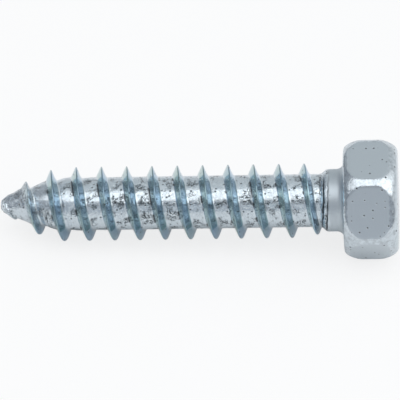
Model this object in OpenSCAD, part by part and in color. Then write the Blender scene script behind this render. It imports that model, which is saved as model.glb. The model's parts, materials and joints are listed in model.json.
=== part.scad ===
// Hex head self-tapping screw, cold headed and thread rolled from one length of wire.
// It lies as it comes to rest on a table: on one flat of its head and on a thread crest
// near its point. The origin is on the table, below the middle of the screw's length,
// +X points towards the head and +Z up. All sizes are in millimetres.

/* [Head] */
// Width of the hexagon across its flats
head_af = 8; // [7:0.1:10]
// Height of the head above its bearing face
head_h = 3.95; // [3:0.05:6]
// How far the rounded corners stand back from the sharp hexagon
corner_cut = 0.13; // [0.05:0.01:0.3]
// How far the rim of the bearing face lies inside the flats
bearing_inset = 0.3; // [0.2:0.01:0.6]
// Height over which the corners curve in to the bearing face
bearing_corner_h = 1.15; // [0.8:0.05:1.4]
// Height of the rounding between each flat and the bearing face
bearing_edge_h = 0.4; // [0.2:0.05:0.6]
// Height of the narrow land between that rounding and the flat, which the screw comes to rest on
edge_land = 0.25; // [0.1:0.05:0.4]
// How far the rim of the end face lies inside the flats
end_inset = 0.45; // [0.3:0.01:0.8]
// Height over which the corners curve in to the end face
end_corner_h = 1.2; // [1:0.05:1.6]
// Height of the rounding between each flat and the end face
end_edge_h = 0.65; // [0.3:0.05:0.8]

/* [Shank] */
// Length from the bearing face to the end of the point
shank_l = 25.3; // [16:0.1:50]
// Diameter of the core between the threads
root_d = 3.88; // [3.2:0.02:4.2]
// Diameter of the plain neck below the head
neck_d = 4.58; // [4.3:0.02:4.8]
// Length of the plain neck
neck_h = 1.2; // [0.8:0.05:3]
// Length of the slope from the neck down to the core
shoulder_h = 0.55; // [0.2:0.05:1]
// Radius of the fillet between the neck and the head
neck_fillet = 0.55; // [0.15:0.01:0.6]

/* [Point] */
// Length of the point, from its end to the full core
point_h = 4.9; // [3.5:0.1:8]
// Length of the blunt nose on the point
nose_h = 0.7; // [0.4:0.05:1.2]
// Diameter of the nose where it meets the taper
nose_d = 1.7; // [1:0.05:2.2]
// Diameter of the flat on the end of the nose
nose_flat_d = 0.3; // [0.1:0.05:0.6]
// How full the taper is: 1 is a straight cone, 2 a parabola
taper_bulge = 1.35; // [1:0.05:2]

/* [Thread] */
// Diameter over the thread crests
major_d = 5.45; // [4.8:0.05:6.2]
// Distance from one crest to the next
pitch = 1.865; // [1.4:0.005:2.6]
// Width of the crest
crest_w = 0.08; // [0.04:0.01:0.2]
// Angle of each flank from the plane across the screw
flank_angle = 26.5; // [20:0.5:32]
// Distance from the end of the point to the first trace of thread
thread_start = 0.35; // [0.3:0.05:1]
// Radius from which the crest climbs, at the end of the point
lead_in_r = 0.3; // [0:0.05:0.35]
// How full the climb of the crest is: 1 is straight, 2 a parabola
lead_in_bulge = 1.8; // [1:0.1:2.5]
// How far the end of the thread runs up inside the neck
thread_overlap = 0.35; // [0.3:0.05:0.7]
// Length over which the crest sinks until it is inside the neck
runout_h = 2; // [1:0.1:3]
// Turn of the thread about the screw, with 0 for a crest that would be lowest at the point's end
thread_turn = 134; // [0:1:359]

/* [Hidden] */

steel = [0.72, 0.76, 0.80];
curve_steps = 8;
thread_steps = 48;
round_fn = 96;

flat_r = head_af / 2;
corner_r = flat_r / cos(30) - corner_cut;
bearing_r = flat_r - bearing_inset;
end_r = flat_r - end_inset;
// How far outside the rims of the end faces the rounding of the flats sets out
rim_gap = 0.1;
root_r = root_d / 2;
neck_r = neck_d / 2;
major_r = major_d / 2;
nose_flat_r = nose_flat_d / 2;
nose_r = nose_d / 2;
// How deep the foot of the thread lies below the surface of the core
thread_sink = 0.25;
thread_top = shank_l - neck_h + thread_overlap;
turns = (thread_top - thread_start) / pitch;

// Distances along the shank are measured up from the end of the point, so the bearing
// face is at shank_l. The screw is drawn upright, with its bearing face at z = 0.

// Points of a rounded edge that rises by h as its radius grows from r0 to r1: a parabola
function edge_curve(r0, r1, h, z0 = 0) =
    [for (i = [0 : curve_steps]) let (t = i / curve_steps) [r0 + (r1 - r0) * t, z0 + h * t * t]];

// The same points from last to first
function reversed(points) = [for (i = [len(points) - 1 : -1 : 0]) points[i]];

// Points of the fillet that flares from the neck to the bearing face
function fillet_curve() =
    [for (i = [0 : curve_steps]) let (a = 180 - 90 * i / curve_steps)
        [neck_r + neck_fillet * (1 + cos(a)), neck_fillet * (sin(a) - 1)]];

// A climb from r0 to r1 that levels out as t goes from 0 to 1, and stays level after that
function climb(r0, r1, t, bulge) = r1 - (r1 - r0) * pow(1 - min(t, 1), bulge);

// Radius of the core at a distance from the end of the point: a rounded nose, then the taper
function core_r(s) = s < nose_h
    ? nose_flat_r + (nose_r - nose_flat_r) * sqrt(s / nose_h)
    : climb(nose_r, root_r, (s - nose_h) / (point_h - nose_h), taper_bulge);

// Radius of the crest: it climbs along the point, runs level, and sinks into the neck
function crest_r(s) =
    let (sunk = max(s - thread_top + runout_h, 0) / runout_h)
    climb(lead_in_r, major_r, s / point_h, lead_in_bulge) - (major_r - neck_r + crest_w) * sunk;

// Points of the taper, from the nose to the full core
function taper_curve() =
    [for (i = [1 : curve_steps]) let (s = nose_h + (point_h - nose_h) * i / curve_steps)
        [core_r(s), s - shank_l]];

// One cross-section of the thread, in the plane through the axis at its own angle
function thread_ring(s) =
    let (foot_r = core_r(s) - thread_sink,
        foot_w = crest_w + 2 * (crest_r(s) - foot_r) * tan(flank_angle),
        a = 360 * s / pitch + thread_turn,
        z = s - shank_l)
    [for (p = [[foot_r, -foot_w], [crest_r(s), -crest_w], [crest_r(s), crest_w], [foot_r, foot_w]])
        [p[0] * cos(a), p[0] * sin(a), z + p[1] / 2]];

// The wire's own round form: nose, taper, core, shoulder, neck and the flare into the head
module core() {
    rotate_extrude($fn = round_fn)
        polygon(concat(
            [[0, -shank_l]],
            edge_curve(nose_flat_r, nose_r, nose_h, -shank_l),
            taper_curve(),
            [[root_r, -neck_h - shoulder_h], [neck_r, -neck_h]],
            fillet_curve(),
            [[neck_r + neck_fillet, head_h / 2], [0, head_h / 2]]));
}

// The rolled thread, a ridge that follows a right-handed helix round the core
module thread() {
    steps = ceil(turns * thread_steps);
    rings = [for (i = [0 : steps])
        thread_ring(thread_start + (thread_top - thread_start) * i / steps)];
    corners = len(rings[0]);
    sides = [for (i = [0 : steps - 1], j = [0 : corners - 1])
        let (a = i * corners + j, b = i * corners + (j + 1) % corners)
        each [[a, b, b + corners], [a, b + corners, a + corners]]];
    start_cap = [for (j = [corners - 1 : -1 : 0]) j];
    end_cap = [for (j = [0 : corners - 1]) steps * corners + j];
    polyhedron([for (ring = rings) each ring], concat(sides, [start_cap, end_cap]));
}

// Where the screw touches the table: the land at the end of the lowest flat, and the crests below
// the core
land_top = bearing_edge_h + edge_land;
low_crests = [for (i = [0 : floor(turns)])
    let (s = (i + 1 - thread_turn / 360) * pitch)
    if (s > thread_start && s < thread_top) s];
rest_tilt = min([for (s = low_crests)
    atan2(flat_r - crest_r(s), shank_l - s + land_top)]);
rest_h = flat_r * cos(rest_tilt) - land_top * sin(rest_tilt);
mid_x = ((head_h - shank_l) * cos(rest_tilt) + end_r * sin(rest_tilt)) / 2;
// The land leans in as the screw does, so that it lies flush on the table
land_r = flat_r - edge_land * tan(rest_tilt);

// One half of a head outline: it curves out from the bearing face and back in to the end face
function head_outline(low, top) = concat(low, [for (p = reversed(top)) [p[0], head_h - p[1]]]);

// Two opposite flats, with a rounding along their lower and upper edges
module flat_pair() {
    side = head_outline(
        concat(edge_curve(bearing_r + rim_gap, land_r, bearing_edge_h), [[flat_r, land_top]]),
        edge_curve(end_r + rim_gap, flat_r, end_edge_h));
    rotate([90, 0, 0])
        linear_extrude(2 * head_af, center = true)
            polygon(concat(side, [for (p = reversed(side)) [-p[0], p[1]]]));
}

// The hexagon: three pairs of flats, with corners turned to one rounded outline
module head() {
    intersection() {
        rotate_extrude($fn = round_fn)
            polygon(concat(
                [[0, 0]],
                head_outline(
                    edge_curve(bearing_r, corner_r, bearing_corner_h),
                    edge_curve(end_r, corner_r, end_corner_h)),
                [[0, head_h]]));
        flat_pair();
        rotate(60) flat_pair();
        rotate(120) flat_pair();
    }
}

// Lays the upright screw down on its lowest flat and the first crest that meets the table
module lay_down() {
    translate([-mid_x, 0, rest_h])
        rotate([0, -rest_tilt, 0])
            rotate([0, 90, 0])
                children();
}

module screw() {
    color(steel)
        lay_down() {
            core();
            thread();
            head();
        }
}

screw();
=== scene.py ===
"""Visual model of a hex head self-tapping screw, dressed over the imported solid.

The screw is one piece of steel, cold headed, thread rolled and zinc plated. Its mesh repeats the
solid's form and adds what the solid leaves out: the root radius of the thread, the wrinkles that
rolling leaves on the core, the facets of the sheared nose, and the soft edges of the forged head.
"""

import json
import math

import bmesh
import bpy
from bpy.props import FloatProperty, FloatVectorProperty, PointerProperty
from mathutils import Matrix, Quaternion, Vector, noise


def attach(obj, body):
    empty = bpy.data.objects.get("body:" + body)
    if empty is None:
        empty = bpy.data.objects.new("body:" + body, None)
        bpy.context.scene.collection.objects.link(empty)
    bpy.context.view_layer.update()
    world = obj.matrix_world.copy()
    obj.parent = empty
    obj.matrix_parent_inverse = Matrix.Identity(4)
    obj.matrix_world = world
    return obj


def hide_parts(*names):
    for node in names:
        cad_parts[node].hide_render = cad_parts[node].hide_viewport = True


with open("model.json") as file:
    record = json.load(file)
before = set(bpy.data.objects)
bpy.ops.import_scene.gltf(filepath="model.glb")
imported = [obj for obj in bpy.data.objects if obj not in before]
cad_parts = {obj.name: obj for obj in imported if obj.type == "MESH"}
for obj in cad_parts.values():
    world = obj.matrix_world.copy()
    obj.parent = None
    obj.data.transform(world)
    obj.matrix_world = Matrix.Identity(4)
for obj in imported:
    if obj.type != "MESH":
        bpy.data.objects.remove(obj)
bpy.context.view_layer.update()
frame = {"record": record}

bl_info = {
    "name": "Hex Head Self-Tapping Screw",
    "version": (1, 0, 0),
    "blender": (4, 5, 0),
    "location": "View3D > Sidebar > Screw",
    "description": "Builds a zinc plated tapping screw and the plain stage that it lies on",
    "category": "Object",
}

MM = 0.001

# Forms of the head, as in the solid, with corners that are a little rounder
CORNER_CUT = 0.17 * MM
BEARING_INSET = 0.3 * MM
BEARING_CORNER = 1.15 * MM
BEARING_EDGE = 0.4 * MM
END_INSET = 0.45 * MM
END_CORNER = 1.2 * MM
END_EDGE = 0.65 * MM
RIM_GAP = 0.1 * MM
# Height of the narrow land at the lower end of each flat, on which the screw lies, and how far it leans in
EDGE_LAND = 0.25 * MM
LAND_DROP = 0.0151 * MM
# Half the turn from one flat of the hexagon to the next
HALF_SIDE = math.radians(30)
# Length of neck that is drawn below its fillet before the cut
FILLET_RUN = 0.1 * MM
# How far the edges of the flats and the curve of the corners are softened by forging and plating
EDGE_SOFTNESS = 0.06 * MM
CURVE_SOFTNESS = 0.07 * MM
# How cloudy the end face is, against the roundings, and the height below it over which that changes
END_CLOUDS = 0.4
END_CLOUDS_FADE = 0.3 * MM

# Forms of the shank and the point, as in the solid
SHOULDER = 0.55 * MM
NECK_FILLET = 0.55 * MM
NOSE_LENGTH = 0.7 * MM
NOSE_RADIUS = 0.85 * MM
NOSE_FLAT_RADIUS = 0.15 * MM
THINNEST_POINT = 0.02 * MM
TAPER_FULLNESS = 1.35
THREAD_START = 0.35 * MM
LEAD_IN_RADIUS = 0.3 * MM
LEAD_IN_FULLNESS = 1.8
THREAD_OVERLAP = 0.35 * MM
RUNOUT = 2.0 * MM
# Share of the ridge's height that its root radius takes, how far that radius flares out, and how much
# the radius lets the flank stand steeper, for the flank towards the point and the one towards the head
LOWER_ROOT = (0.12, 0.04, 0.92)
UPPER_ROOT = (0.34, 0.11, 0.8)
# Share of the ridge's height that rounds its crest, the lowest ridge that sets the width of a foot, and
# the share of the pitch that half a foot may take
CREST_CROWN = 0.02
LOWEST_RIDGE = 0.15 * MM
WIDEST_FOOT = 0.45
# How far the root drops behind a crest and climbs towards the next one, along the point, the length
# over which that comes in, and where it ends
ROOT_LEAN = 0.12 * MM
ROOT_LEAN_START = 2 * MM
ROOT_LEAN_END = 9.5 * MM
# How much longer the leading flank is where the thread begins, and where that ends
LEAD_FLANK = 1.6
LEAD_FLANK_END = 3.2 * MM
# Where the rolled shank and the headed end are cut before they are joined, below the bearing face
SHANK_CUT = 0.95 * MM
HEAD_CUT = 0.8 * MM
# Size and depth of the wrinkles that rolling leaves on the core, and of the facets on the sheared nose
WRINKLE_SIZE = 0.26 * MM
WRINKLE_DEPTH = 0.005 * MM
FACET_SIZE = 0.4 * MM
FACET_DEPTH = 0.06 * MM
# Share of the finer wrinkles, of those on the point against those in the roots, and of those that the
# shears take off the nose
FINE_WRINKLES = 0.6
POINT_WRINKLES = 0.8
NOSE_SHEARED = 0.5
# Radius inside which wrinkles and facets fade out towards the axis
LEAST_RADIUS = 0.1 * MM
# How far from its end the point is sheared and how far it is wrinkled all over, and where the colour of
# the flanks begins, each with the length over which it changes
NOSE_WEAR = (1.3 * MM, 0.6 * MM)
POINT_WEAR = (3.4 * MM, 1.2 * MM)
FLANK_COLOUR = (1.6 * MM, 2.2 * MM)
# Where above the shoulder the neck turns plain, and the length over which it does
NECK_START = (0.05 * MM, 0.15 * MM)
# Length over which the shoulder's wear comes in, where round it the end of the thread is folded over, and
# how widely
SHOULDER_FADE = 0.2 * MM
FOLD_TURN = math.radians(250)
FOLD_SPREAD = 1.4

# Rows of the shank's surface over half a pitch: 0 is the middle of the crest, 1 the foot of the
# ridge and 2 the middle of the root. The crest ends at one row, and the root radius begins at another
HALF_ROWS = (0, 0.06, 0.12, 0.14, 0.2, 0.33, 0.46, 0.59, 0.7, 0.8, 0.9, 1, 1.2, 1.4, 1.6, 1.8, 2)
CREST_ROW = 0.12
RADIUS_ROW = 0.7
# Rows over which the flanks change over at the crest, where the root begins and the rows over which it
# comes in, how far the painted shade at the foot of the ridge reaches, and how much less of it the upper
# flank has
FLANK_CHANGE = 0.3
ROOT_ROWS = (0.9, 0.4)
FOOT_REACH = 0.22
UPPER_FOOT_LESS = 0.7

# Steps round the shank and the head, and along the fillet, bearing ring, side and end face of the head
STEPS_PER_TURN = 144
HEAD_STEPS = 288
FILLET_STEPS = 8
RING_STEPS = 8
SIDE_STEPS = 48
END_STEPS = 12
# Distance within which points are merged, and within which a cut takes a point to be on its plane
MERGE_DISTANCE = 0.0005 * MM
CUT_TOLERANCE = 0.0001 * MM

# Values that each point carries for the plating, from 0 to 1: height up the thread, the flank towards
# the head, nearness to the middle of a root and to the foot of the ridge, the folds where the thread
# runs out, the plain neck, and the flats and the roundings of the head
MASKS = ("ridge", "upper", "lane", "foot", "fold", "plain", "pressed", "rounded")

# Sizes of the patterns in the plating
LAP_SIZE = 0.3 * MM
LAP_PATCH = 0.7 * MM
FOLD_SPACING = 0.34 * MM
PIT_SPACING = 0.3 * MM
DRIFT_SIZE = 2.2 * MM
CLOUD_SIZE = 0.3 * MM
GRAIN_SIZE = 0.12 * MM
# Heights and depths of the relief in the plating, in millimetres
GRAIN_HEIGHT = 0.005
DENT_HEIGHT = 0.02
SWELL_HEIGHT = 0.011
CREASE_DEPTH = 0.005
MARK_DEPTH = 0.03

# Half the width of the floor in metres, and the shares of plain white that it shows to the camera and in
# the plating
FLOOR_REACH = 1.0
FLOOR_SEEN = 0.78
FLOOR_MIRRORED = 0.15
# Colours of the studio's walls
FRONT_WALL = "#C0C6CE"
BACK_WALL = "#CED4D8"
SIDE_WALLS = "#969CA4"
BRIGHT_WALL = "#E2E5E8"
DARK_CORNER = "#23272A"
# Height at which the dark corner behind the camera stands over the horizon
DARK_CORNER_HEIGHT = math.radians(43)


def linear(hex_colour):
    """Linear RGBA of an sRGB colour written as #RRGGBB."""
    shares = [int(hex_colour[i:i + 2], 16) / 255 for i in (1, 3, 5)]
    return [c / 12.92 if c <= 0.04045 else ((c + 0.055) / 1.055) ** 2.4 for c in shares] + [1.0]


class ScrewSizes(bpy.types.PropertyGroup):
    """Main sizes of the screw, those of the solid"""

    head_width: FloatProperty(
        name="Head Width", description="Width of the hexagon across its flats",
        default=8 * MM, unit="LENGTH")
    head_height: FloatProperty(
        name="Head Height", description="Height of the head above its bearing face",
        default=3.95 * MM, unit="LENGTH")
    shank_length: FloatProperty(
        name="Shank Length", description="Length from the bearing face to the end of the point",
        default=25.3 * MM, unit="LENGTH")
    core_diameter: FloatProperty(
        name="Core Diameter", description="Diameter of the core between the threads",
        default=3.88 * MM, unit="LENGTH")
    neck_diameter: FloatProperty(
        name="Neck Diameter", description="Diameter of the plain neck below the head",
        default=4.58 * MM, unit="LENGTH")
    neck_length: FloatProperty(
        name="Neck Length", description="Length of the plain neck",
        default=1.2 * MM, unit="LENGTH")
    point_length: FloatProperty(
        name="Point Length", description="Length of the point, from its end to the full core",
        default=4.9 * MM, unit="LENGTH")
    thread_diameter: FloatProperty(
        name="Thread Diameter", description="Diameter over the thread crests",
        default=5.45 * MM, unit="LENGTH")
    pitch: FloatProperty(
        name="Pitch", description="Distance from one crest to the next",
        default=1.865 * MM, unit="LENGTH")
    crest_width: FloatProperty(
        name="Crest Width", description="Width of the thread crest",
        default=0.08 * MM, unit="LENGTH")
    flank_angle: FloatProperty(
        name="Flank Angle", description="Angle of each flank from the plane across the screw",
        default=math.radians(26.5), subtype="ANGLE")
    thread_turn: FloatProperty(
        name="Thread Turn", description="Turn of the thread about the screw",
        default=math.radians(134), subtype="ANGLE")


class ZincColours(bpy.types.PropertyGroup):
    """Colours of the plating"""

    bright: FloatVectorProperty(
        name="Bright Zinc", description="Zinc where it is smooth and thick",
        default=linear("#D2DADF"), size=4, subtype="COLOR", min=0, max=1)
    blue: FloatVectorProperty(
        name="Blue Passivation", description="Tint of the clear blue passivation",
        default=linear("#A2BDD2"), size=4, subtype="COLOR", min=0, max=1)
    teal: FloatVectorProperty(
        name="Teal Passivation", description="Tint where the passivation is thicker",
        default=linear("#B2C8C5"), size=4, subtype="COLOR", min=0, max=1)
    # Besides pits and laps, this colour paints shade down the crests and at the foot of each ridge
    dark: FloatVectorProperty(
        name="Pits", description="Bottoms of pits and rolling laps",
        default=linear("#1C2023"), size=4, subtype="COLOR", min=0, max=1)


class StageColours(bpy.types.PropertyGroup):
    """Colours of the stage"""

    floor: FloatVectorProperty(
        name="Floor", description="Colour of the plain floor",
        default=linear("#F7F7F7"), size=4, subtype="COLOR", min=0, max=1)


def climb(low, high, share, fullness):
    """A climb from low to high that levels out as share goes from 0 to 1."""
    return high - (high - low) * (1 - min(max(share, 0), 1)) ** fullness


def smooth_step(share):
    """A smooth rise from 0 to 1 as share goes from 0 to 1."""
    share = min(max(share, 0), 1)
    return share * share * (3 - 2 * share)


def core_radius(sizes, s):
    """Radius of the core at a distance from the end of the point."""
    root = sizes.core_diameter / 2
    if s < NOSE_LENGTH:
        share = math.copysign(math.sqrt(abs(s) / NOSE_LENGTH), s)
        return max(NOSE_FLAT_RADIUS + (NOSE_RADIUS - NOSE_FLAT_RADIUS) * share, THINNEST_POINT)
    taper = (s - NOSE_LENGTH) / (sizes.point_length - NOSE_LENGTH)
    slope = smooth_step((s - sizes.shank_length + sizes.neck_length + SHOULDER) / SHOULDER)
    neck = (sizes.neck_diameter / 2 - root) * slope
    return climb(NOSE_RADIUS, root, taper, TAPER_FULLNESS) + neck


def crest_radius(sizes, s):
    """Radius of the crest: it climbs along the point, runs level, and sinks into the neck."""
    if s < THREAD_START:
        return 0
    crest = sizes.thread_diameter / 2
    top = sizes.shank_length - sizes.neck_length + THREAD_OVERLAP
    sunk = max(s - top + RUNOUT, 0) / RUNOUT
    drop = (crest - sizes.neck_diameter / 2 + sizes.crest_width) * sunk
    return climb(LEAD_IN_RADIUS, crest, s / sizes.point_length, LEAD_IN_FULLNESS) - drop


def ridge_profile(sizes, row, height, longer):
    """Share of the ridge's height and distance from the middle of the crest, for one row."""
    half_crest = sizes.crest_width / 2
    width = max(height, LOWEST_RIDGE)
    root, flare, steeper = UPPER_ROOT if row > 0 else LOWER_ROOT
    flare *= width
    slope = math.tan(sizes.flank_angle) * steeper * longer
    slope = min(slope, (WIDEST_FOOT * sizes.pitch - half_crest - flare) / width)
    foot = half_crest + width * slope + flare
    row = abs(row)
    if row <= CREST_ROW:
        return 1 - CREST_CROWN * (row / CREST_ROW) ** 2, half_crest * row / CREST_ROW
    if row <= RADIUS_ROW:
        edge = 1 - CREST_CROWN
        share = edge - (edge - root) * (row - CREST_ROW) / (RADIUS_ROW - CREST_ROW)
        return share, half_crest + (1 - share) * width * slope
    if row <= 1:
        turn = math.radians(90) * (row - RADIUS_ROW) / (1 - RADIUS_ROW)
        share = root * (1 - math.sin(turn))
        return share, half_crest + (1 - share) * width * slope + flare * (1 - math.cos(turn))
    return 0, foot + (row - 1) * (sizes.pitch / 2 - foot)


def new_bmesh():
    """An empty mesh with the values that its points carry."""
    bm = bmesh.new()
    for name in ("across", *MASKS):
        bm.verts.layers.float.new(name)
    return bm


def wire_blank(bm, sizes):
    """A plain wire as one strip that winds up it, a pitch wide, with rows along the strip."""
    across = bm.verts.layers.float["across"]
    rows = [-row for row in reversed(HALF_ROWS[1:])] + list(HALF_ROWS)
    start = -sizes.shank_length - sizes.pitch
    chain = []
    for row in rows:
        vert = bm.verts.new((sizes.core_diameter / 2, 0, start + row * sizes.pitch / 4))
        vert[across] = row
        chain.append(vert)
    edges = [bm.edges.new(pair) for pair in zip(chain, chain[1:])]
    turn = Matrix.Rotation(sizes.thread_turn, 3, "Z")
    bmesh.ops.rotate(bm, verts=chain, cent=(0, 0, 0), matrix=turn)
    bmesh.ops.spin(
        bm, geom=chain + edges, cent=(0, 0, 0), axis=(0, 0, 1),
        dvec=(0, 0, sizes.pitch / STEPS_PER_TURN), angle=math.tau, steps=STEPS_PER_TURN)
    turns = 1
    while turns < sizes.shank_length / sizes.pitch + 2:
        strip = bm.verts[:] + bm.edges[:] + bm.faces[:]
        copy = bmesh.ops.duplicate(bm, geom=strip)["geom"]
        verts = [item for item in copy if isinstance(item, bmesh.types.BMVert)]
        bmesh.ops.translate(bm, verts=verts, vec=(0, 0, turns * sizes.pitch))
        turns *= 2
    bmesh.ops.remove_doubles(bm, verts=bm.verts, dist=MERGE_DISTANCE)


def root_lean(s, row):
    """How far the core stands above or below its mean taper: low behind a crest, high before it."""
    fade = min(s / ROOT_LEAN_START, 1) * smooth_step(1 - s / ROOT_LEAN_END)
    side = -row if abs(row) < 1 else row - math.copysign(2, row)
    return ROOT_LEAN * fade * side


def roll_thread(bm, sizes):
    """Rolls the ridge up from the blank and draws its end out to the point."""
    across = bm.verts.layers.float["across"]
    ridge, upper, lane, foot = [bm.verts.layers.float[name] for name in MASKS[:4]]
    full = (sizes.thread_diameter - sizes.core_diameter) / 2
    colour_start, colour_fade = FLANK_COLOUR
    lane_start, lane_fade = ROOT_ROWS
    for vert in bm.verts:
        row = vert[across]
        centre = vert.co.z + sizes.shank_length - row * sizes.pitch / 4
        height = max(crest_radius(sizes, centre) - core_radius(sizes, centre), 0)
        longer = LEAD_FLANK * max(1 - centre / LEAD_FLANK_END, 0) if row < 0 else 0
        share, offset = ridge_profile(sizes, row, height, 1 + longer)
        s = centre + math.copysign(offset, row)
        if s < NOSE_LENGTH:
            s = math.copysign(s * s / NOSE_LENGTH, s)
        core = core_radius(sizes, s) + root_lean(centre, row)
        crest = max(crest_radius(sizes, centre), core)
        radius = core + share * (crest - core)
        spoke = Vector((vert.co.x, vert.co.y, 0)).normalized()
        vert.co = spoke * radius + Vector((0, 0, s - sizes.shank_length))
        vert[ridge] = min((radius - core) / full, 1) * smooth_step((centre - colour_start) / colour_fade)
        vert[upper] = min(max(0.5 + row / FLANK_CHANGE, 0), 1)
        vert[lane] = min(max(abs(row) - lane_start, 0) / lane_fade, 1)
        # Painted shade at the foot of the ridge, less on the flank towards the head
        vert[foot] = max(1 - abs(abs(row) - 1) / FOOT_REACH, 0) * (1 - UPPER_FOOT_LESS * vert[upper])


def wear_shank(bm, sizes):
    """Wrinkles the rolled core, shears the nose into facets and leaves the neck plain."""
    lane, foot, fold, plain = [bm.verts.layers.float[name] for name in MASKS[2:6]]
    plain_start, plain_fade = NECK_START
    nose_end, nose_fade = NOSE_WEAR
    point_end, point_fade = POINT_WEAR
    for vert in bm.verts:
        s = vert.co.z + sizes.shank_length
        above_shoulder = vert.co.z + sizes.neck_length
        vert[plain] = smooth_step((above_shoulder - plain_start) / plain_fade)
        nose = smooth_step((nose_end - s) / nose_fade)
        point = smooth_step((point_end - s) / point_fade)
        shoulder = smooth_step((above_shoulder + SHOULDER) / SHOULDER_FADE)
        worn = max(vert[lane], shoulder, POINT_WRINKLES * point)
        vert[lane] = worn * (1 - vert[plain]) * (1 - NOSE_SHEARED * nose)
        vert[foot] *= (1 - point) * (1 - vert[plain])
        facing = math.cos(math.atan2(vert.co.y, vert.co.x) - FOLD_TURN)
        vert[fold] = shoulder * smooth_step(FOLD_SPREAD * facing) * (1 - vert[plain])
        wrinkle = noise.noise(vert.co / WRINKLE_SIZE)
        wrinkle += FINE_WRINKLES * noise.noise(vert.co * 2 / WRINKLE_SIZE)
        facet = noise.turbulence(vert.co / FACET_SIZE, 2, True, noise_basis="VORONOI_F2F1")
        depth = WRINKLE_DEPTH * wrinkle * vert[lane] - FACET_DEPTH * facet * nose
        vert.co.xy *= 1 + depth / max(vert.co.xy.length, LEAST_RADIUS)


def trim_shank(bm, sizes):
    """Cuts the strip square at the neck and at the point, and closes the blunt nose."""
    for height, keep_above in ((-sizes.shank_length, True), (-SHANK_CUT, False)):
        bmesh.ops.bisect_plane(
            bm, geom=bm.verts[:] + bm.edges[:] + bm.faces[:], dist=CUT_TOLERANCE,
            plane_co=(0, 0, height), plane_no=(0, 0, 1),
            clear_outer=not keep_above, clear_inner=keep_above)
    middle = -sizes.shank_length / 2
    rim = [edge for edge in bm.edges if edge.is_boundary and edge.verts[0].co.z < middle]
    nose = bmesh.ops.holes_fill(bm, edges=rim)
    bmesh.ops.poke(bm, faces=nose["faces"])


def smooth_low(one, other, softness):
    """The lower of two values, with a smooth change from one to the other."""
    share = min(max(0.5 + (other - one) / (2 * softness), 0), 1)
    return other + (one - other) * share - softness * share * (1 - share)


def corner_radius(sizes, z):
    """Radius of the rounded corners at a height: they curve in to the bearing face and the end face."""
    flat = sizes.head_width / 2
    corner = flat / math.cos(HALF_SIDE) - CORNER_CUT
    low, high = flat - BEARING_INSET, flat - END_INSET
    from_bearing = low + (corner - low) * math.sqrt(z / BEARING_CORNER)
    from_end = high + (corner - high) * math.sqrt((sizes.head_height - z) / END_CORNER)
    return smooth_low(smooth_low(from_bearing, corner, CURVE_SOFTNESS), from_end, CURVE_SOFTNESS)


def head_outline(sizes):
    """Radius and height of the turned outline, from the neck round the corners to the axis."""
    neck = sizes.neck_diameter / 2
    top = sizes.head_height
    points = [(neck, -HEAD_CUT), (neck, -NECK_FILLET - FILLET_RUN)]
    for i in range(FILLET_STEPS + 1):
        turn = math.radians(90) * i / FILLET_STEPS
        points.append((neck + NECK_FILLET * (1 - math.cos(turn)), NECK_FILLET * (math.sin(turn) - 1)))
    ring = neck + NECK_FILLET
    bearing = corner_radius(sizes, 0)
    points += [(ring + (bearing - ring) * i / RING_STEPS, 0) for i in range(1, RING_STEPS)]
    for i in range(SIDE_STEPS + 1):
        z = top * (1 - math.cos(math.pi * i / SIDE_STEPS)) / 2
        points.append((corner_radius(sizes, z), z))
    end = corner_radius(sizes, top)
    points += [(end * (1 - i / END_STEPS), top) for i in range(1, END_STEPS + 1)]
    return points


def flat_distance(sizes, z):
    """Distance of a flat from the axis at a height: rounded below and above."""
    flat = sizes.head_width / 2
    if z < BEARING_EDGE:
        low = flat - BEARING_INSET + RIM_GAP
        return low + (flat - LAND_DROP - low) * math.sqrt(max(z, 0) / BEARING_EDGE)
    if z < BEARING_EDGE + EDGE_LAND:
        return flat - LAND_DROP * (BEARING_EDGE + EDGE_LAND - z) / EDGE_LAND
    below_end = sizes.head_height - z
    if below_end < END_EDGE:
        low = flat - END_INSET + RIM_GAP
        return low + (flat - low) * math.sqrt(max(below_end, 0) / END_EDGE)
    return flat


def forge_head(bm, sizes):
    """Turns the head's outline round the axis and presses six flats into it."""
    plain, pressed, rounded = [bm.verts.layers.float[name] for name in MASKS[5:]]
    chain = [bm.verts.new((radius, 0, z)) for radius, z in head_outline(sizes)]
    edges = [bm.edges.new(pair) for pair in zip(chain, chain[1:])]
    bmesh.ops.spin(
        bm, geom=chain + edges, cent=(0, 0, 0), axis=(0, 0, 1), dvec=(0, 0, 0),
        angle=math.tau, steps=HEAD_STEPS, use_merge=True)
    bmesh.ops.remove_doubles(bm, verts=bm.verts, dist=MERGE_DISTANCE)
    for vert in bm.verts:
        radius = vert.co.xy.length
        if vert.co.z < 0 or radius == 0:
            vert[plain] = vert.co.z < 0
            continue
        angle = math.atan2(vert.co.y, vert.co.x)
        off = (angle + HALF_SIDE) % (2 * HALF_SIDE) - HALF_SIDE
        limit = flat_distance(sizes, vert.co.z) / math.cos(off)
        vert.co.xy *= smooth_low(limit, radius, EDGE_SOFTNESS) / radius
        inside = BEARING_EDGE < vert.co.z < sizes.head_height - END_EDGE
        vert[pressed] = inside * smooth_step(0.5 + (radius - limit) / (2 * EDGE_SOFTNESS))
        below_end = smooth_step((sizes.head_height - vert.co.z) / END_CLOUDS_FADE)
        vert[rounded] = (1 - vert[pressed]) * (END_CLOUDS + (1 - END_CLOUDS) * below_end)


def screw_placement():
    """Matrix that lays the upright screw down where the solid lies."""
    mount = next(m for m in frame["record"]["mounts"] if m["name"] == "thread")
    axis = -Vector(mount["axis"]).normalized()
    side = Vector((0, 1, 0))
    down = side.cross(axis)
    turn = Matrix((down, side, axis)).transposed().to_4x4()
    return Matrix.Translation(Vector(mount["pos_m"])) @ turn


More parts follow.
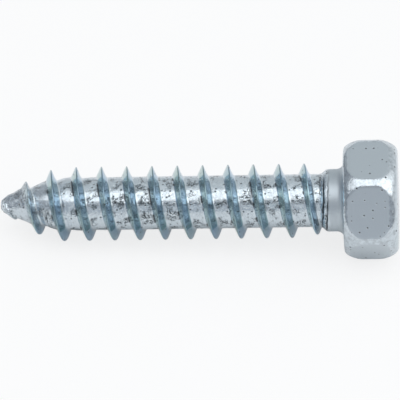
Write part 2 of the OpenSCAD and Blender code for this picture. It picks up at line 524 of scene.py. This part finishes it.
def add_node(tree, kind, inputs=None, **settings):
    """A node with its settings and, for each input, a value or a link.

    On a mix of colours, inputs 6 and 7 are the two colours and output 2 is the result.
    """
    node = tree.nodes.new(kind)
    for name, value in settings.items():
        setattr(node, name, value)
    for name, value in (inputs or {}).items():
        if isinstance(value, bpy.types.NodeSocket):
            tree.links.new(value, node.inputs[name])
        else:
            node.inputs[name].default_value = value
    return node


def rolling_laps(tree, place, mask):
    """Swells that rolling leaves in the roots, the creases between them, and the laps: creases shut tight.

    The laps show as dark squiggles about 0.1 mm wide, in patches. Real ones are finer, and are drawn
    coarser so that they show. In the same patches the foot of the ridge is darkened too: painted shade
    where the flank meets the root.
    """
    swells = add_node(tree, "ShaderNodeTexNoise", {
        "Vector": place, "Scale": 1 / LAP_SIZE, "Detail": 2, "Roughness": 0.6, "Distortion": 2.0})
    middle = add_node(tree, "ShaderNodeMath", {0: swells.outputs["Fac"], 1: 0.5}, operation="SUBTRACT")
    middle = add_node(tree, "ShaderNodeMath", {0: middle.outputs[0]}, operation="ABSOLUTE")
    creases = add_node(tree, "ShaderNodeMapRange", {
        "Value": middle.outputs[0], "From Min": 0.025, "From Max": 0.06, "To Min": 1.0, "To Max": 0.0},
        interpolation_type="SMOOTHSTEP")
    creases = add_node(tree, "ShaderNodeMath", {
        0: creases.outputs[0], 1: mask["lane"]}, operation="MULTIPLY")
    swells = add_node(tree, "ShaderNodeMath", {
        0: swells.outputs["Fac"], 1: mask["lane"]}, operation="MULTIPLY")
    patches = add_node(tree, "ShaderNodeTexNoise", {"Vector": place, "Scale": 1 / LAP_PATCH, "Detail": 1})
    patches = add_node(tree, "ShaderNodeMapRange", {
        "Value": patches.outputs["Fac"], "From Min": 0.51, "From Max": 0.58})
    # Painted shade: the foot of the ridge is darkened along with the laps
    laps_and_foot_shade = add_node(tree, "ShaderNodeMath", {
        0: creases.outputs[0], 1: mask["foot"]}, operation="MAXIMUM")
    laps_and_foot_shade = add_node(tree, "ShaderNodeMath", {
        0: laps_and_foot_shade.outputs[0], 1: patches.outputs[0]}, operation="MULTIPLY")
    return swells.outputs[0], creases.outputs[0], laps_and_foot_shade.outputs[0]


def shoulder_folds(tree, place, mask):
    """Dark folds round the shoulder, where the rolls pressed the end of the thread over.

    A wave texture of scale 1 repeats every tau / 20.
    """
    folds = add_node(tree, "ShaderNodeTexWave", {
        "Vector": place, "Scale": math.tau / 20 / FOLD_SPACING, "Distortion": 2.0, "Detail": 2,
        "Detail Scale": 1.5, "Phase Offset": 0.1})
    folds = add_node(tree, "ShaderNodeMapRange", {
        "Value": folds.outputs["Fac"], "From Min": 0.62, "From Max": 0.82})
    folds = add_node(tree, "ShaderNodeMath", {
        0: folds.outputs[0], 1: mask["fold"]}, operation="MULTIPLY")
    return folds.outputs[0]


def plating_pits(tree, place, mask):
    """Pits about 0.1 mm across, in a fifth of the cells on the head and in two fifths in the roots."""
    cells = add_node(tree, "ShaderNodeTexVoronoi", {"Vector": place, "Scale": 1 / PIT_SPACING})
    pits = add_node(tree, "ShaderNodeMapRange", {
        "Value": cells.outputs["Distance"], "From Min": 0.14, "From Max": 0.28,
        "To Min": 1.0, "To Max": 0.0})
    chance = add_node(tree, "ShaderNodeSeparateColor", {"Color": cells.outputs["Color"]})
    limit = add_node(tree, "ShaderNodeMath", {0: mask["lane"], 1: -0.2, 2: 0.78}, operation="MULTIPLY_ADD")
    chosen = add_node(tree, "ShaderNodeMath", {
        0: chance.outputs[0], 1: limit.outputs[0]}, operation="GREATER_THAN")
    chosen = add_node(tree, "ShaderNodeMath", {
        0: chosen.outputs[0], 1: mask["plain"]}, operation="SUBTRACT")
    pits = add_node(tree, "ShaderNodeMath", {
        0: pits.outputs[0], 1: chosen.outputs[0]}, operation="MULTIPLY", use_clamp=True)
    return pits.outputs[0]


def passivation(tree, place, mask, colours):
    """Colour of clean plating: teal and blue drift into each other on the flanks, and the crests are
    darkened with painted shade.
    """
    drift = add_node(tree, "ShaderNodeTexNoise", {"Vector": place, "Scale": 1 / DRIFT_SIZE, "Detail": 2})
    drift = add_node(tree, "ShaderNodeMapRange", {
        "Value": drift.outputs["Fac"], "From Min": 0.4, "From Max": 0.6, "To Min": -0.1, "To Max": 0.4})
    drift = add_node(tree, "ShaderNodeMath", {
        0: mask["upper"], 1: 0.7, 2: drift.outputs[0]}, operation="MULTIPLY_ADD", use_clamp=True)
    tint = add_node(tree, "ShaderNodeMix", {
        "Factor": drift.outputs[0], 6: colours.teal, 7: colours.blue}, data_type="RGBA")
    flanks = add_node(tree, "ShaderNodeMapRange", {
        "Value": mask["ridge"], "From Min": 0.0, "From Max": 0.25})
    colour = add_node(tree, "ShaderNodeMix", {
        "Factor": flanks.outputs[0], 6: colours.bright, 7: tint.outputs[2]}, data_type="RGBA")
    # Painted shade: the middle of each crest is darkened towards the dark colour
    crest = add_node(tree, "ShaderNodeMapRange", {
        "Value": mask["ridge"], "From Min": 0.94, "From Max": 0.98, "To Min": 0.0, "To Max": 0.35})
    colour = add_node(tree, "ShaderNodeMix", {
        "Factor": crest.outputs[0], 6: colour.outputs[2], 7: colours.dark}, data_type="RGBA")
    return colour.outputs[2]


def zinc_plate(colours):
    """Zinc electroplate with a clear blue passivation, over steel that was headed and thread rolled.

    The rolls burnish the flanks, where the passivation shows teal and blue, and leave laps and pits in
    the roots. The die leaves the flats of the head satin, and the plain neck is satin too.
    """
    material = bpy.data.materials.new("blue_passivated_zinc_plate")
    material.use_nodes = True
    tree = material.node_tree
    tree.nodes.clear()
    place = add_node(tree, "ShaderNodeTexCoord").outputs["Object"]
    mask = {
        name: add_node(tree, "ShaderNodeAttribute", attribute_name=name).outputs["Fac"] for name in MASKS}

    # Dark marks: laps, folds and pits, and painted shade at the foot of the ridge
    swells, creases, laps_and_foot_shade = rolling_laps(tree, place, mask)
    folds = shoulder_folds(tree, place, mask)
    pits = plating_pits(tree, place, mask)
    marks = add_node(tree, "ShaderNodeMath", {0: laps_and_foot_shade, 1: folds}, operation="MAXIMUM")
    marks = add_node(tree, "ShaderNodeMath", {0: marks.outputs[0], 1: pits}, operation="MAXIMUM")
    darkness = add_node(tree, "ShaderNodeMath", {0: marks.outputs[0], 1: 0.92}, operation="MULTIPLY")
    colour = add_node(tree, "ShaderNodeMix", {
        "Factor": darkness.outputs[0], 6: passivation(tree, place, mask, colours), 7: colours.dark},
        data_type="RGBA")

    # Clouds on the roundings of the head, which the die didn't press smooth, and an even shade on the
    # flats and the neck
    clouds = add_node(tree, "ShaderNodeTexNoise", {"Vector": place, "Scale": 1 / CLOUD_SIZE, "Detail": 3})
    shade = add_node(tree, "ShaderNodeMapRange", {
        "Value": clouds.outputs["Fac"], "From Min": 0.4, "From Max": 0.7, "To Min": 0.0, "To Max": 0.3})
    shade = add_node(tree, "ShaderNodeMath", {
        0: shade.outputs[0], 1: mask["rounded"]}, operation="MULTIPLY")
    shade = add_node(tree, "ShaderNodeMath", {
        0: mask["pressed"], 1: 0.1, 2: shade.outputs[0]}, operation="MULTIPLY_ADD")
    shade = add_node(tree, "ShaderNodeMath", {
        0: mask["plain"], 1: 0.15, 2: shade.outputs[0]}, operation="MULTIPLY_ADD")
    colour = add_node(tree, "ShaderNodeMix", {
        "Factor": shade.outputs[0], 6: colour.outputs[2], 7: colours.dark}, data_type="RGBA")

    # Fine grain of the plated surface, which blurs what the metal reflects
    grain = add_node(tree, "ShaderNodeTexNoise", {"Vector": place, "Scale": 1 / GRAIN_SIZE, "Detail": 2})
    satin = add_node(tree, "ShaderNodeMapRange", {"Value": mask["pressed"], "To Min": 0.08, "To Max": 0.34})
    rough = add_node(tree, "ShaderNodeMath", {
        0: mask["plain"], 1: 0.36, 2: satin.outputs[0]}, operation="MULTIPLY_ADD")
    rough = add_node(tree, "ShaderNodeMath", {
        0: mask["rounded"], 1: 0.1, 2: rough.outputs[0]}, operation="MULTIPLY_ADD")
    rough = add_node(tree, "ShaderNodeMath", {
        0: grain.outputs["Fac"], 1: 0.1, 2: rough.outputs[0]}, operation="MULTIPLY_ADD")

    # Relief: grain everywhere, dents on the roundings, swells and creases in the roots, and the sunk marks
    dents = add_node(tree, "ShaderNodeMath", {
        0: clouds.outputs["Fac"], 1: mask["rounded"]}, operation="MULTIPLY")
    relief = add_node(tree, "ShaderNodeMath", {
        0: grain.outputs["Fac"], 1: GRAIN_HEIGHT}, operation="MULTIPLY")
    for form, height in (
            (dents.outputs[0], DENT_HEIGHT), (swells, SWELL_HEIGHT),
            (creases, -CREASE_DEPTH), (marks.outputs[0], -MARK_DEPTH)):
        relief = add_node(tree, "ShaderNodeMath", {
            0: form, 1: height, 2: relief.outputs[0]}, operation="MULTIPLY_ADD")
    bump = add_node(tree, "ShaderNodeBump", {"Height": relief.outputs[0], "Strength": 1.0, "Distance": MM})

    shader = add_node(tree, "ShaderNodeBsdfPrincipled", {
        "Base Color": colour.outputs[2], "Metallic": 1.0, "Roughness": rough.outputs[0],
        "Normal": bump.outputs[0]})
    add_node(tree, "ShaderNodeOutputMaterial", {"Surface": shader.outputs[0]})
    return material


class SCREW_OT_build_screw(bpy.types.Operator):
    """Build the plated screw in place of the plain solid"""

    bl_idname = "screw.build_screw"
    bl_label = "Build Screw"

    def execute(self, context):
        sizes = context.scene.screw_sizes
        shank = new_bmesh()
        wire_blank(shank, sizes)
        roll_thread(shank, sizes)
        wear_shank(shank, sizes)
        trim_shank(shank, sizes)
        bm = new_bmesh()
        forge_head(bm, sizes)
        mesh = bpy.data.meshes.new("plated_screw")
        shank.to_mesh(mesh)
        shank.free()
        bm.from_mesh(mesh)
        rims = [edge for edge in bm.edges if edge.is_boundary]
        bmesh.ops.bridge_loops(bm, edges=rims)
        bmesh.ops.recalc_face_normals(bm, faces=bm.faces)
        for face in bm.faces:
            face.smooth = True
        bmesh.ops.transform(bm, matrix=screw_placement(), verts=bm.verts)
        bm.verts.layers.float.remove(bm.verts.layers.float["across"])
        bm.to_mesh(mesh)
        bm.free()
        piece = bpy.data.objects.new("plated_screw", mesh)
        context.scene.collection.objects.link(piece)
        mesh.materials.append(zinc_plate(context.scene.zinc_colours))
        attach(piece, "root")
        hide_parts("screw")
        return {"FINISHED"}


class SCREW_OT_build_stage(bpy.types.Operator):
    """Build the floor, the studio lamps and the camera"""

    bl_idname = "screw.build_stage"
    bl_label = "Build Stage"

    def execute(self, context):
        scene = context.scene
        bm = bmesh.new()
        bmesh.ops.create_grid(bm, x_segments=1, y_segments=1, size=FLOOR_REACH)
        mesh = bpy.data.meshes.new("floor")
        bm.to_mesh(mesh)
        bm.free()
        floor = bpy.data.objects.new("floor", mesh)
        scene.collection.objects.link(floor)
        mesh.materials.append(floor_paper(scene.stage_colours))
        light_studio(scene)
        place_camera(scene)
        scene.view_settings.view_transform = "Standard"
        return {"FINISHED"}


def floor_paper(colours):
    """Matt white studio paper, which keeps a pale shadow.

    It shows a share of plain white to the camera and in the plating, so that it stays nearly white.
    """
    material = bpy.data.materials.new("matt_white_paper")
    material.use_nodes = True
    tree = material.node_tree
    tree.nodes.clear()
    path = add_node(tree, "ShaderNodeLightPath").outputs
    mirrored = add_node(tree, "ShaderNodeMath", {
        0: path["Is Glossy Ray"], 1: path["Is Transmission Ray"]}, operation="ADD")
    mirrored = add_node(tree, "ShaderNodeMath", {
        0: mirrored.outputs[0], 1: FLOOR_MIRRORED}, operation="MULTIPLY")
    share = add_node(tree, "ShaderNodeMath", {
        0: path["Is Camera Ray"], 1: FLOOR_SEEN, 2: mirrored.outputs[0]}, operation="MULTIPLY_ADD")
    paper = add_node(tree, "ShaderNodeBsdfDiffuse", {"Color": colours.floor})
    glow = add_node(tree, "ShaderNodeEmission", {"Color": (1, 1, 1, 1), "Strength": 1.0})
    mix = add_node(tree, "ShaderNodeMixShader", {
        0: share.outputs[0], 1: paper.outputs[0], 2: glow.outputs[0]})
    add_node(tree, "ShaderNodeOutputMaterial", {"Surface": mix.outputs[0]})
    return material


def add_softbox(scene, name, direction, distance, size, power, turn=0, shift=0):
    """An oval softbox that faces from a direction, turned in its own plane and shifted along its length."""
    lamp = bpy.data.lights.new(name, "AREA")
    lamp.shape = "ELLIPSE"
    lamp.size, lamp.size_y = size
    lamp.energy = power
    box = bpy.data.objects.new(name, lamp)
    facing = Vector(direction).to_track_quat("Z", "Y") @ Quaternion((0, 0, 1), turn)
    box.location = Vector(direction).normalized() * distance + facing @ Vector((shift, 0, 0))
    box.rotation_euler = facing.to_euler()
    scene.collection.objects.link(box)


def light_studio(scene):
    """A pale studio with a long softbox overhead and a small one to the right, beside the head."""
    world = bpy.data.worlds.new("studio")
    world.use_nodes = True
    tree = world.node_tree
    tree.nodes.clear()
    direction = add_node(tree, "ShaderNodeTexCoord").outputs["Generated"]
    axes = add_node(tree, "ShaderNodeSeparateXYZ", {"Vector": direction}).outputs

    # The front wall passes into the back wall, and both pass into grey walls at the sides
    backward = add_node(tree, "ShaderNodeMapRange", {"Value": axes["Y"], "From Min": -0.6, "From Max": 0.6})
    walls = add_node(tree, "ShaderNodeMix", {
        "Factor": backward.outputs[0], 6: linear(FRONT_WALL), 7: linear(BACK_WALL)}, data_type="RGBA")
    sideways = add_node(tree, "ShaderNodeMath", {0: axes["X"]}, operation="ABSOLUTE")
    sideways = add_node(tree, "ShaderNodeMapRange", {
        "Value": sideways.outputs[0], "From Min": 0.25, "From Max": 0.7}, interpolation_type="SMOOTHSTEP")
    walls = add_node(tree, "ShaderNodeMix", {
        "Factor": sideways.outputs[0], 6: walls.outputs[2], 7: linear(SIDE_WALLS)}, data_type="RGBA")

    # The right wall is bright, but not where it nears the camera's side
    to_right = add_node(tree, "ShaderNodeMapRange", {
        "Value": axes["X"], "From Min": 0.15, "From Max": 0.6}, interpolation_type="SMOOTHSTEP")
    past_front = add_node(tree, "ShaderNodeMapRange", {
        "Value": axes["Y"], "From Min": -0.8, "From Max": -0.4}, interpolation_type="SMOOTHSTEP")
    bright = add_node(tree, "ShaderNodeMath", {
        0: to_right.outputs[0], 1: past_front.outputs[0]}, operation="MULTIPLY")
    walls = add_node(tree, "ShaderNodeMix", {
        "Factor": bright.outputs[0], 6: walls.outputs[2], 7: linear(BRIGHT_WALL)}, data_type="RGBA")

    # The dark corner behind the camera, which the screw mirrors as a dark strip below its highlight
    nearness = add_node(tree, "ShaderNodeVectorMath", {
        0: direction, 1: (0, -math.cos(DARK_CORNER_HEIGHT), math.sin(DARK_CORNER_HEIGHT))},
        operation="DOT_PRODUCT")
    corner = add_node(tree, "ShaderNodeMapRange", {
        "Value": nearness.outputs["Value"], "From Min": 0.962, "From Max": 0.99},
        interpolation_type="SMOOTHSTEP")
    walls = add_node(tree, "ShaderNodeMix", {
        "Factor": corner.outputs[0], 6: walls.outputs[2], 7: linear(DARK_CORNER)}, data_type="RGBA")

    room = add_node(tree, "ShaderNodeBackground", {"Color": walls.outputs[2], "Strength": 1.0})
    add_node(tree, "ShaderNodeOutputWorld", {"Surface": room.outputs[0]})
    scene.world = world
    add_softbox(
        scene, "overhead_softbox", direction=(0, -0.267, 0.964), distance=0.26, size=(0.9, 0.24),
        power=0.54, turn=math.radians(-2), shift=0.04)
    add_softbox(
        scene, "side_softbox", direction=(0.775, 0.16, 0.61), distance=0.26, size=(0.2, 0.15), power=0.03)


def place_camera(scene):
    """The camera looks down on the screw from the front, square to its length."""
    azimuth = math.radians(2.07)
    elevation = math.radians(44)
    roll = math.radians(-0.206)
    distance = 0.28
    middle = Vector((0, 0, 4 * MM))
    left, lower = 0.026 * MM, 0.333 * MM
    away = Vector((
        math.sin(azimuth) * math.cos(elevation),
        -math.cos(azimuth) * math.cos(elevation),
        math.sin(elevation)))
    right = Vector((math.cos(azimuth), math.sin(azimuth), 0))
    up = away.cross(right)
    across = right * math.cos(roll) - up * math.sin(roll)
    upright = right * math.sin(roll) + up * math.cos(roll)
    aim = middle - across * left - upright * lower
    data = bpy.data.cameras.new("camera")
    data.lens = 343.6
    data.sensor_width = 36
    camera = bpy.data.objects.new("camera", data)
    camera.matrix_world = Matrix.Translation(aim + away * distance) @ Matrix(
        (across, upright, away)).transposed().to_4x4()
    scene.collection.objects.link(camera)
    scene.camera = camera


class SCREW_PT_build(bpy.types.Panel):
    """Sizes, colours and build steps of the screw"""

    bl_idname = "SCREW_PT_build"
    bl_label = "Tapping Screw"
    bl_space_type = "VIEW_3D"
    bl_region_type = "UI"
    bl_category = "Screw"

    def draw(self, context):
        layout = self.layout
        for group in (context.scene.screw_sizes, context.scene.zinc_colours, context.scene.stage_colours):
            for name in group.__annotations__:
                layout.prop(group, name)
        layout.operator(SCREW_OT_build_screw.bl_idname)
        layout.operator(SCREW_OT_build_stage.bl_idname)


CLASSES = (
    ScrewSizes, ZincColours, StageColours, SCREW_OT_build_screw, SCREW_OT_build_stage, SCREW_PT_build)


def register():
    """Registers the classes and hangs their values on the scene."""
    for cls in CLASSES:
        bpy.utils.register_class(cls)
    bpy.types.Scene.screw_sizes = PointerProperty(type=ScrewSizes)
    bpy.types.Scene.zinc_colours = PointerProperty(type=ZincColours)
    bpy.types.Scene.stage_colours = PointerProperty(type=StageColours)


def unregister():
    """Takes the values off the scene and unregisters the classes."""
    del bpy.types.Scene.stage_colours
    del bpy.types.Scene.zinc_colours
    del bpy.types.Scene.screw_sizes
    for cls in reversed(CLASSES):
        bpy.utils.unregister_class(cls)


def main():
    """Builds the screw and the stage."""
    register()
    bpy.ops.screw.build_screw()
    bpy.ops.screw.build_stage()


if __name__ == "__main__":
    main()
